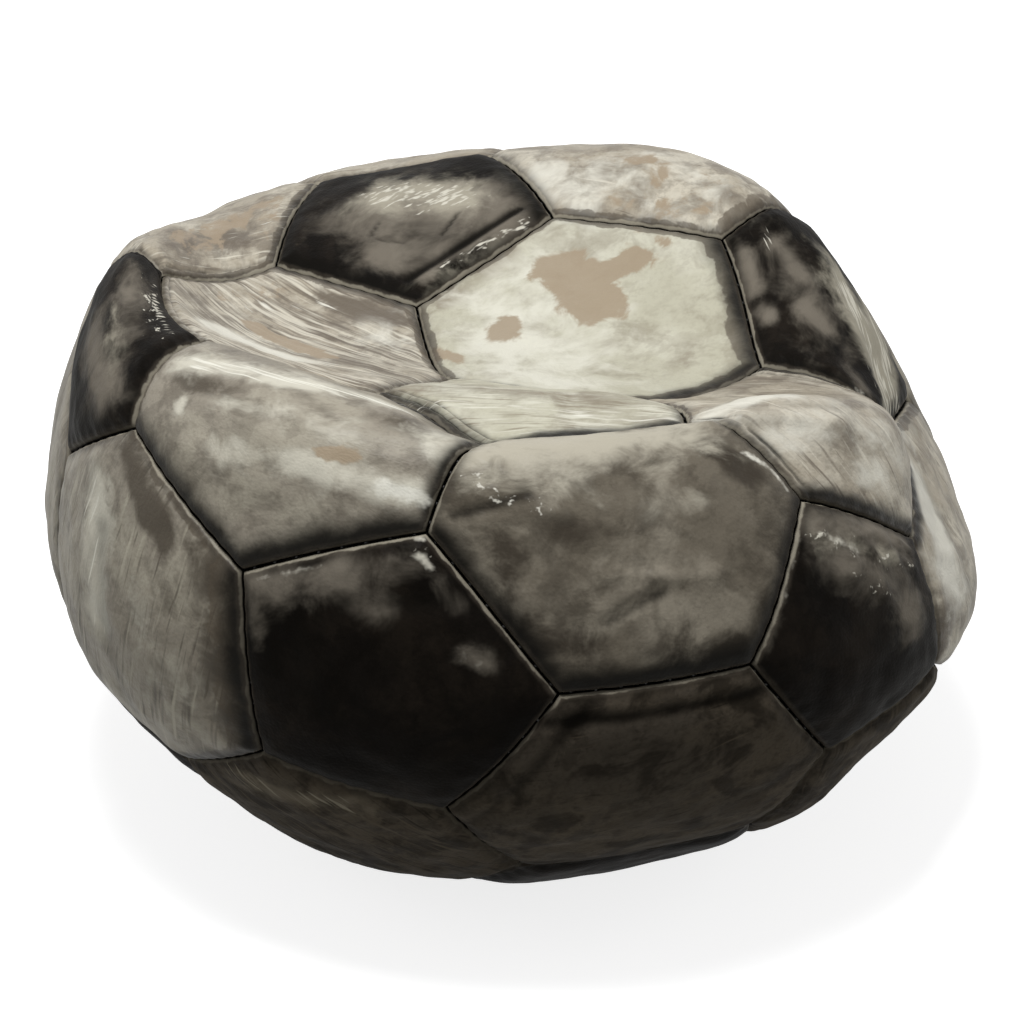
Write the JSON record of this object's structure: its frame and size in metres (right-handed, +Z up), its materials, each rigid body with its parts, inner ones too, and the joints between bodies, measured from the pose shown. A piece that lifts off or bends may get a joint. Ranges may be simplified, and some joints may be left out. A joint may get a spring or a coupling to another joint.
{
  "type": "deflated football",
  "caption": "Deflated, worn football of sewn hexagon and pentagon leather panels, its top caved in and its underside lying flat.",
  "frame": {"origin": "on the floor, below the middle of the ball's plan", "axes": "+Z up from the flat underside; -Y is the front, where the lip rolls over the dent; +X is the ball's right seen from the front"},
  "size_m": [0.2154, 0.2428, 0.1407],
  "materials": {
    "pale_leather": "worn, once white panel leather, satin, with tan stains",
    "scuffed_leather": "scuffed, once white panel leather with streaks where it has stretched",
    "grey_leather": "once white panel leather greyed with dirt, satin",
    "brown_leather": "once white panel leather browned with dirt, blotchy, satin",
    "grimy_leather": "once white panel leather, dark with grime from the ground",
    "black_leather": "black panel leather, semi-gloss, with pale scuffs",
    "bladder_rubber": "matt latex bladder",
    "valve_rubber": "moulded rubber valve"
  },
  "bodies": {
    "root": {"pentagon_in_fold": "pale_leather", "hexagon_dent_floor": "pale_leather", "hexagon_dent_left": "scuffed_leather", "hexagon_lip_left": "grey_leather", "hexagon_lip_front": "brown_leather", "hexagon_fold_right": "scuffed_leather", "pentagon_rim_right": "black_leather", "pentagon_dent_back": "black_leather", "pentagon_rim_left": "black_leather", "pentagon_front_left": "black_leather", "pentagon_front_right": "black_leather", "hexagon_rim_back_right": "scuffed_leather", "hexagon_rim_back_left": "scuffed_leather", "hexagon_side_left": "grey_leather", "hexagon_belly_front": "grimy_leather", "hexagon_side_right": "scuffed_leather", "hexagon_side_back_right": "grey_leather", "hexagon_back": "scuffed_leather", "hexagon_side_back_left": "grey_leather", "hexagon_belly_left": "grimy_leather", "hexagon_belly_right": "grimy_leather", "pentagon_back_right": "black_leather", "pentagon_back_left": "black_leather", "pentagon_under_left": "black_leather", "pentagon_under_front": "black_leather", "pentagon_under_right": "black_leather", "hexagon_base_back_right": "grimy_leather", "hexagon_base_back": "grimy_leather", "hexagon_base_left": "grimy_leather", "hexagon_base_front_left": "grimy_leather", "hexagon_base_front_right": "grimy_leather", "pentagon_base": "black_leather", "bladder": "bladder_rubber", "valve": "valve_rubber"}
  },
  "joints": []
}
